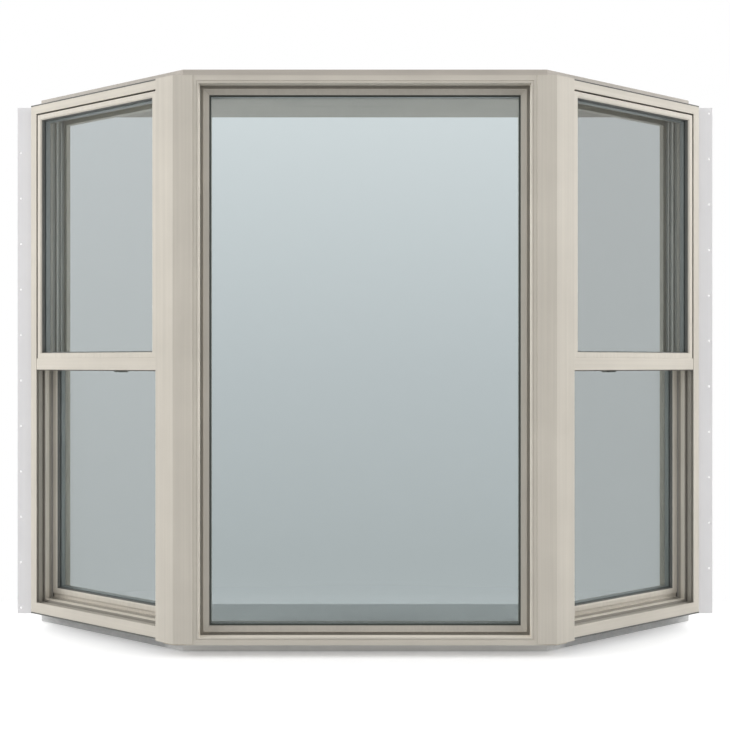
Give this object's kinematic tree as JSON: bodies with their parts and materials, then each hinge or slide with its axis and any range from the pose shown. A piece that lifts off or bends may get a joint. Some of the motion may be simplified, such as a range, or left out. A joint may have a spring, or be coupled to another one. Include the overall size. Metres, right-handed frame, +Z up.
{
  "type": "three-unit angle bay window",
  "caption": "Angle bay window: a fixed picture window between two double-hung windows, on a head board and a seat board, with nailing fins.",
  "frame": {"origin": "middle of the width and depth of the whole part, at the underside of the seat board", "axes": "+X to the right seen from outside, +Y into the room, +Z up"},
  "size_m": [1.986, 0.384, 1.509],
  "materials": {
    "cladding": "satin sandstone-coloured cladding",
    "sash_finish": "satin sandstone-coloured sash",
    "board_paint": "primed and painted veneer board",
    "fin_vinyl": "pale grey moulded flange",
    "post_wood": "primed softwood",
    "inner_trim": "satin off-white",
    "window_glass": "clear with a low-emission grey-blue tint",
    "gasket_rubber": "black glazing gasket",
    "spacer_bar": "dark grey spacer",
    "track_vinyl": "satin beige jamb liner",
    "lock_metal": "painted die-cast lock"
  },
  "bodies": {
    "root": {"centre_frame_head": "cladding", "centre_frame_sill": "cladding", "centre_gasket": "gasket_rubber", "centre_glass": "window_glass", "centre_inner_stop": "inner_trim", "centre_left_jamb": "cladding", "centre_right_jamb": "cladding", "centre_sash": "sash_finish", "centre_spacer": "spacer_bar", "head_board": "board_paint", "left_check_rail": "sash_finish", "left_frame_head": "cladding", "left_frame_sill": "cladding", "left_gaskets": "gasket_rubber", "left_inner_jamb": "cladding", "left_inner_mull_trim": "inner_trim", "left_jamb_tracks": "track_vinyl", "left_lower_glass": "window_glass", "left_lower_sash": "sash_finish", "left_mull_cover": "cladding", "left_mull_post": "post_wood", "left_nailing_fin": "fin_vinyl", "left_outer_jamb": "cladding", "left_sash_lock": "lock_metal", "left_upper_glass": "window_glass", "left_upper_sash": "sash_finish", "left_wall_jamb": "board_paint", "right_check_rail": "sash_finish", "right_frame_head": "cladding", "right_frame_sill": "cladding", "right_gaskets": "gasket_rubber", "right_inner_jamb": "cladding", "right_inner_mull_trim": "inner_trim", "right_jamb_tracks": "track_vinyl", "right_lower_glass": "window_glass", "right_lower_sash": "sash_finish", "right_mull_cover": "cladding", "right_mull_post": "post_wood", "right_nailing_fin": "fin_vinyl", "right_outer_jamb": "cladding", "right_sash_lock": "lock_metal", "right_upper_glass": "window_glass", "right_upper_sash": "sash_finish", "right_wall_jamb": "board_paint", "seat_board": "board_paint"}
  },
  "joints": []
}
